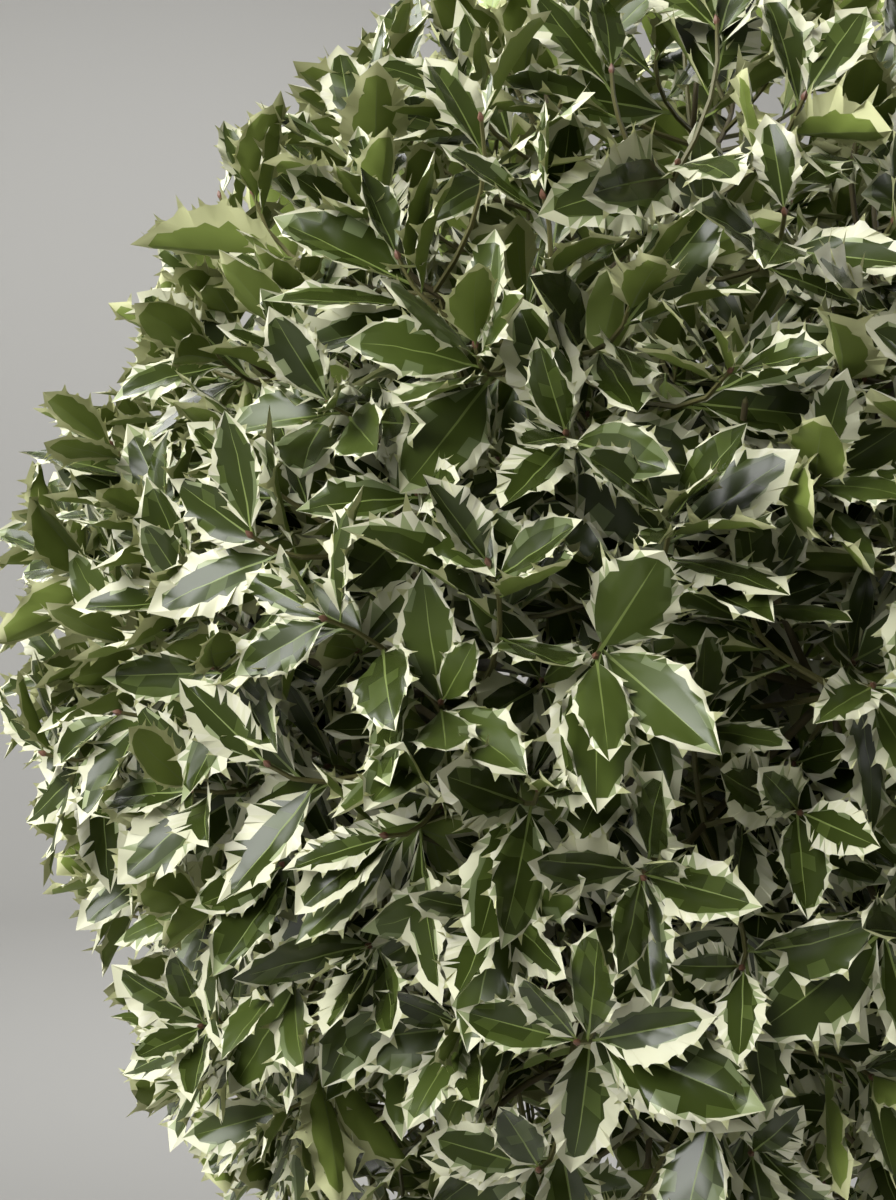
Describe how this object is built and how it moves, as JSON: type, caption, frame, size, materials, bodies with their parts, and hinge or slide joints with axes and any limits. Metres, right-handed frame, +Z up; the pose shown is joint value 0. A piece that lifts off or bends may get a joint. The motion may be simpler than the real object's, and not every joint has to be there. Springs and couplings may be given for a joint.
{
  "type": "holly tree",
  "caption": "Rooted standard holly tree: a clear flared stem under a rounded, bushy head of spiny, cream-edged leaves.",
  "frame": {"origin": "centre of the flat cut under the trunk, at ground level", "axes": "+Z up the trunk to the top of the head; -Y towards the viewer of the front view, +X to that viewer's right"},
  "size_m": [0.8403, 0.8108, 1.7919],
  "materials": {
    "bark": "smooth grey-brown bark",
    "foliage": "glossy dark green blades with cream margins"
  },
  "bodies": {
    "root": {"trunk": "bark", "bough_upper_1": "bark", "bough_upper_2": "bark", "bough_upper_3": "bark", "bough_upper_4": "bark", "bough_upper_5": "bark", "bough_middle_1": "bark", "bough_middle_2": "bark", "bough_middle_3": "bark", "bough_middle_4": "bark", "bough_middle_5": "bark", "bough_middle_6": "bark", "bough_middle_7": "bark", "bough_lower_1": "bark", "bough_lower_2": "bark", "bough_lower_3": "bark", "bough_lower_4": "bark", "bough_lower_5": "bark", "foliage_upper_1": "foliage", "foliage_upper_2": "foliage", "foliage_upper_3": "foliage", "foliage_upper_4": "foliage", "foliage_upper_5": "foliage", "foliage_middle_1": "foliage", "foliage_middle_2": "foliage", "foliage_middle_3": "foliage", "foliage_middle_4": "foliage", "foliage_middle_5": "foliage", "foliage_middle_6": "foliage", "foliage_middle_7": "foliage", "foliage_lower_1": "foliage", "foliage_lower_2": "foliage", "foliage_lower_3": "foliage", "foliage_lower_4": "foliage", "foliage_lower_5": "foliage", "foliage_top": "foliage"}
  },
  "joints": []
}
